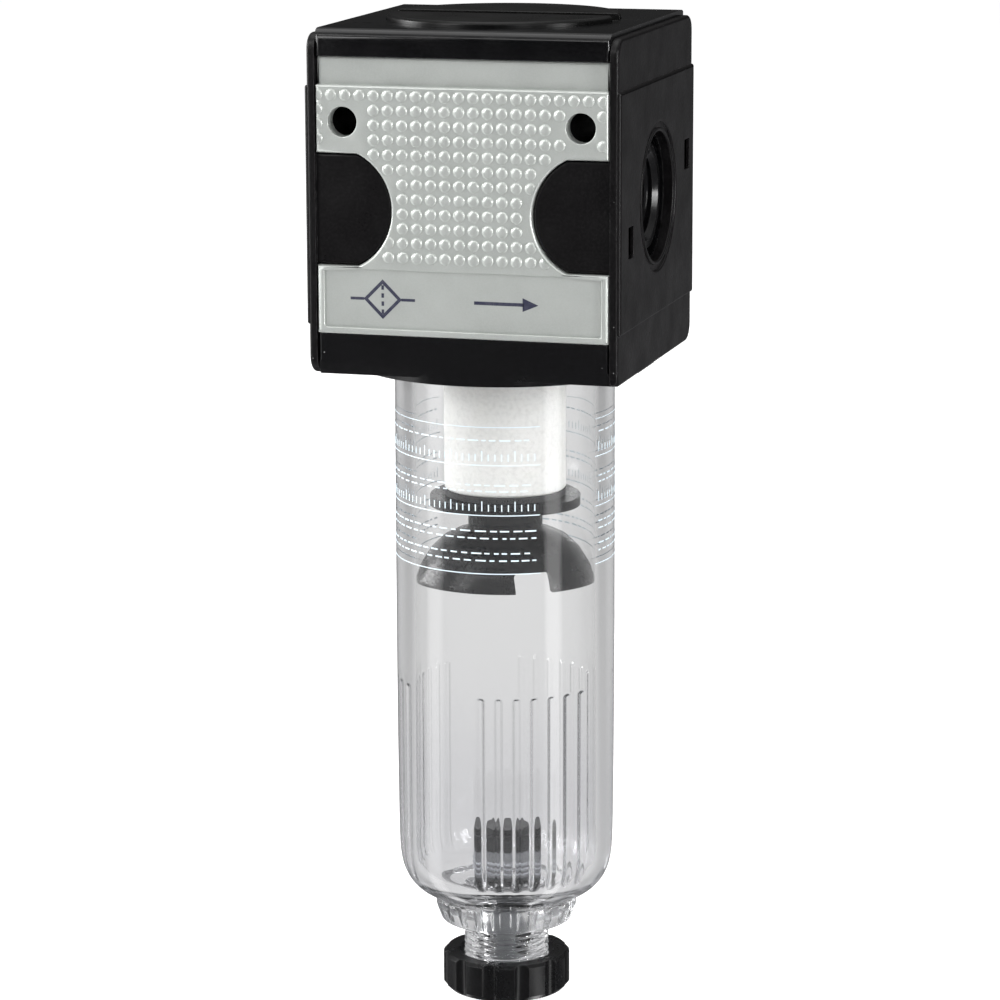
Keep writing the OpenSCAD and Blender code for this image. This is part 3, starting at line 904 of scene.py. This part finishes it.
# ------------------------------------------------------------------ sintered element
prof = [(10.13, -13.9), (10.13, -48.8), (9.85, -49.15), (6.9, -49.15), (6.6, -48.9), (6.6, -13.7), (6.9, -13.45), (9.85, -13.45)]
dense = []
for i in range(len(prof)):
    a, b = np.array(prof[i]), np.array(prof[(i + 1) % len(prof)])
    k = max(1, int(np.linalg.norm(b - a) / 0.4))
    dense += [tuple(a + (b - a) * j / k) for j in range(k)]


def elem_r(i, r, z, th):
    g = np.random.default_rng(1000 + i)
    n = g.normal(0, 0.014, len(th))
    return r - np.abs(n) if r > 9 else r + np.abs(n)


v, f = revolve(dense, 200, elem_r)
put(make_obj("sintered_element", v, f, 60), M_sinter, "head", "sinter_white", "filter_element")

# ------------------------------------------------------------------ stage, light, camera
bpy.ops.mesh.primitive_plane_add(size=16, location=(0, 0, -0.1412))
floor = bpy.context.object
floor.name = "floor"
fm = Mat("floor_pale")
fn = fm.noise(3, 3)
fm.set(Base_Color=fm.mix(fm.ramp(fn, 0.3, 0.7), (0.86, 0.86, 0.86, 1), (0.88, 0.88, 0.88, 1)), Roughness=0.7)
fm.p.inputs["Emission Color"].default_value = (1, 1, 1, 1)
fm.p.inputs["Emission Strength"].default_value = 0.62
dim = fm.n("ShaderNodeBsdfDiffuse")
dim.inputs["Color"].default_value = (0.12, 0.12, 0.125, 1)
lp = fm.n("ShaderNodeLightPath")
only_glossy = fm.math("MULTIPLY", lp.outputs["Is Glossy Ray"], fm.math("SUBTRACT", 1.0, lp.outputs["Is Transmission Ray"]))
mx = fm.n("ShaderNodeMixShader")
fm.l(only_glossy, mx.inputs[0])
fm.l(fm.p.outputs[0], mx.inputs[1])
# what the bowl refracts: a bright backdrop behind, dark flags to the sides and front further out
through = fm.n("ShaderNodeEmission")
geo = fm.n("ShaderNodeNewGeometry")
offs = fm.n("ShaderNodeVectorMath", operation="SUBTRACT")
fm.l(geo.outputs["Position"], offs.inputs[0])
offs.inputs[1].default_value = (0, YA * 0.001, -0.1412)
dist = fm.n("ShaderNodeVectorMath", operation="LENGTH")
fm.l(offs.outputs[0], dist.inputs[0])
unit = fm.n("ShaderNodeVectorMath", operation="NORMALIZE")
fm.l(offs.outputs[0], unit.inputs[0])
fwd = fm.n("ShaderNodeVectorMath", operation="DOT_PRODUCT")
fm.l(unit.outputs[0], fwd.inputs[0])
fwd.inputs[1].default_value = (-0.2777, 0.9607, 0)


def card(az, inner, outer, level):
    """Emission seen within a few degrees of one direction on the floor; az in degrees from the front towards +x."""
    d = fm.n("ShaderNodeVectorMath", operation="DOT_PRODUCT")
    fm.l(unit.outputs[0], d.inputs[0])
    d.inputs[1].default_value = (math.sin(R(az)), -math.cos(R(az)), 0)
    return fm.ramp(d.outputs["Value"], math.cos(R(outer)), math.cos(R(inner)), 0.0, level)


cards = fm.n("ShaderNodeEmission")
fm.l(fm.math("ADD", fm.math("ADD", card(66, 5, 11, 2.4), card(-62, 5, 12, 1.6)), card(160, 14, 40, 0.08)), cards.inputs["Strength"])
mirrored = fm.n("ShaderNodeAddShader")
fm.l(dim.outputs[0], mirrored.inputs[0])
fm.l(cards.outputs[0], mirrored.inputs[1])
fm.l(mirrored.outputs[0], mx.inputs[2])
behind = fm.ramp(fwd.outputs["Value"], 0.80, 0.99)
beside = fm.ramp(fwd.outputs["Value"], 0.45, 0.66)
far = fm.ramp(dist.outputs["Value"], 0.1, 0.75, 0.35, 1.0)
flag = fm.math("MULTIPLY", fm.math("MULTIPLY", far, beside), fm.math("SUBTRACT", 1.0, behind, True), True)
fm.l(fm.mix(fm.math("MULTIPLY", flag, 0.82), (0.90, 0.90, 0.90, 1), (0.30, 0.30, 0.30, 1)), through.inputs["Color"])
mt = fm.n("ShaderNodeMixShader")
fm.l(lp.outputs["Is Transmission Ray"], mt.inputs[0])
fm.l(mx.outputs[0], mt.inputs[1])
fm.l(through.outputs[0], mt.inputs[2])
fm.l(mt.outputs[0], fm.out.inputs[0])
floor.data.materials.append(fm.m)


def area(name, loc, target, size, power, size_y=None):
    L = bpy.data.lights.new(name, "AREA")
    L.energy = power
    L.shape = "RECTANGLE"
    L.size = size
    L.size_y = size_y or size
    o = bpy.data.objects.new(name, L)
    bpy.context.scene.collection.objects.link(o)
    o.location = loc
    d = Vector(target) - Vector(loc)
    o.rotation_euler = d.to_track_quat("-Z", "Y").to_euler()
    return o


c0 = (0, -0.025, -0.05)
area("key_left", (-0.85, -1.0, 0.55), c0, 0.4, 9.6, 1.2)
area("fill_right", (0.75, -1.1, 0.3), c0, 0.2, 3.6, 1.1)
area("top", (-0.1, 0.0, 1.0), c0, 0.8, 3.2)
area("front_strip", (0.05, -0.9, 0.85), c0, 1.3, 1.8, 0.07)
area("side_left", (-1.15, -0.05, 0.1), c0, 0.5, 14.0, 0.8)
area("side_right", (1.2, -0.38, 0.05), c0, 0.12, 12.0, 0.9)

w = bpy.data.worlds.new("studio")
bpy.context.scene.world = w
w.use_nodes = True
nt = w.node_tree
nt.nodes.clear()
wo = nt.nodes.new("ShaderNodeOutputWorld")
bg = nt.nodes.new("ShaderNodeBackground")
tc = nt.nodes.new("ShaderNodeTexCoord")
sep = nt.nodes.new("ShaderNodeSeparateXYZ")
nt.links.new(tc.outputs["Generated"], sep.inputs[0])
mr = nt.nodes.new("ShaderNodeMapRange")
mr.inputs["From Min"].default_value = 0.3
mr.inputs["From Max"].default_value = 0.8
mr.inputs["To Min"].default_value = 0.03
mr.inputs["To Max"].default_value = 0.6
nt.links.new(sep.outputs["Z"], mr.inputs[0])
bg.inputs["Color"].default_value = (1, 1, 1, 1)
lpw = nt.nodes.new("ShaderNodeLightPath")
mxw = nt.nodes.new("ShaderNodeMix")
mxw.data_type = "FLOAT"
nt.links.new(lpw.outputs["Is Transmission Ray"], mxw.inputs[0])
nt.links.new(mr.outputs[0], mxw.inputs[2])
mxw.inputs[3].default_value = 0.95
# the camera itself sees a pale backdrop above the floor
mxc = nt.nodes.new("ShaderNodeMix")
mxc.data_type = "FLOAT"
nt.links.new(lpw.outputs["Is Camera Ray"], mxc.inputs[0])
nt.links.new(mxw.outputs[0], mxc.inputs[2])
mxc.inputs[3].default_value = 1.0
nt.links.new(mxc.outputs[0], bg.inputs["Strength"])
nt.links.new(bg.outputs[0], wo.inputs[0])

cam_d = bpy.data.cameras.new("camera")
cam = bpy.data.objects.new("camera", cam_d)
bpy.context.scene.collection.objects.link(cam)
right = Vector((0.96084867, 0.27705434, -0.00327398))
up = Vector((-0.05395218, 0.19867487, 0.97857931))
back = right.cross(up).normalized()
M = Matrix((right, up, back)).transposed().to_4x4()
M.translation = Vector((0.17629461, -0.61403882 - 0.025, 0.08259004))
cam.matrix_world = M
cam_d.sensor_width = 36
cam_d.lens = 3917.041 / 1000 * 36
cam_d.shift_x = (500 - 498.2537) / 1000
cam_d.shift_y = (500.0398 - 500) / 1000
cam_d.clip_start = 0.01
bpy.context.scene.camera = cam
bpy.context.scene.view_settings.view_transform = "Standard"
# light that is trapped in the clear wall needs many bounces to leave it again
cy = bpy.context.scene.cycles
cy.max_bounces = 28
cy.glossy_bounces = 20
cy.transmission_bounces = 24
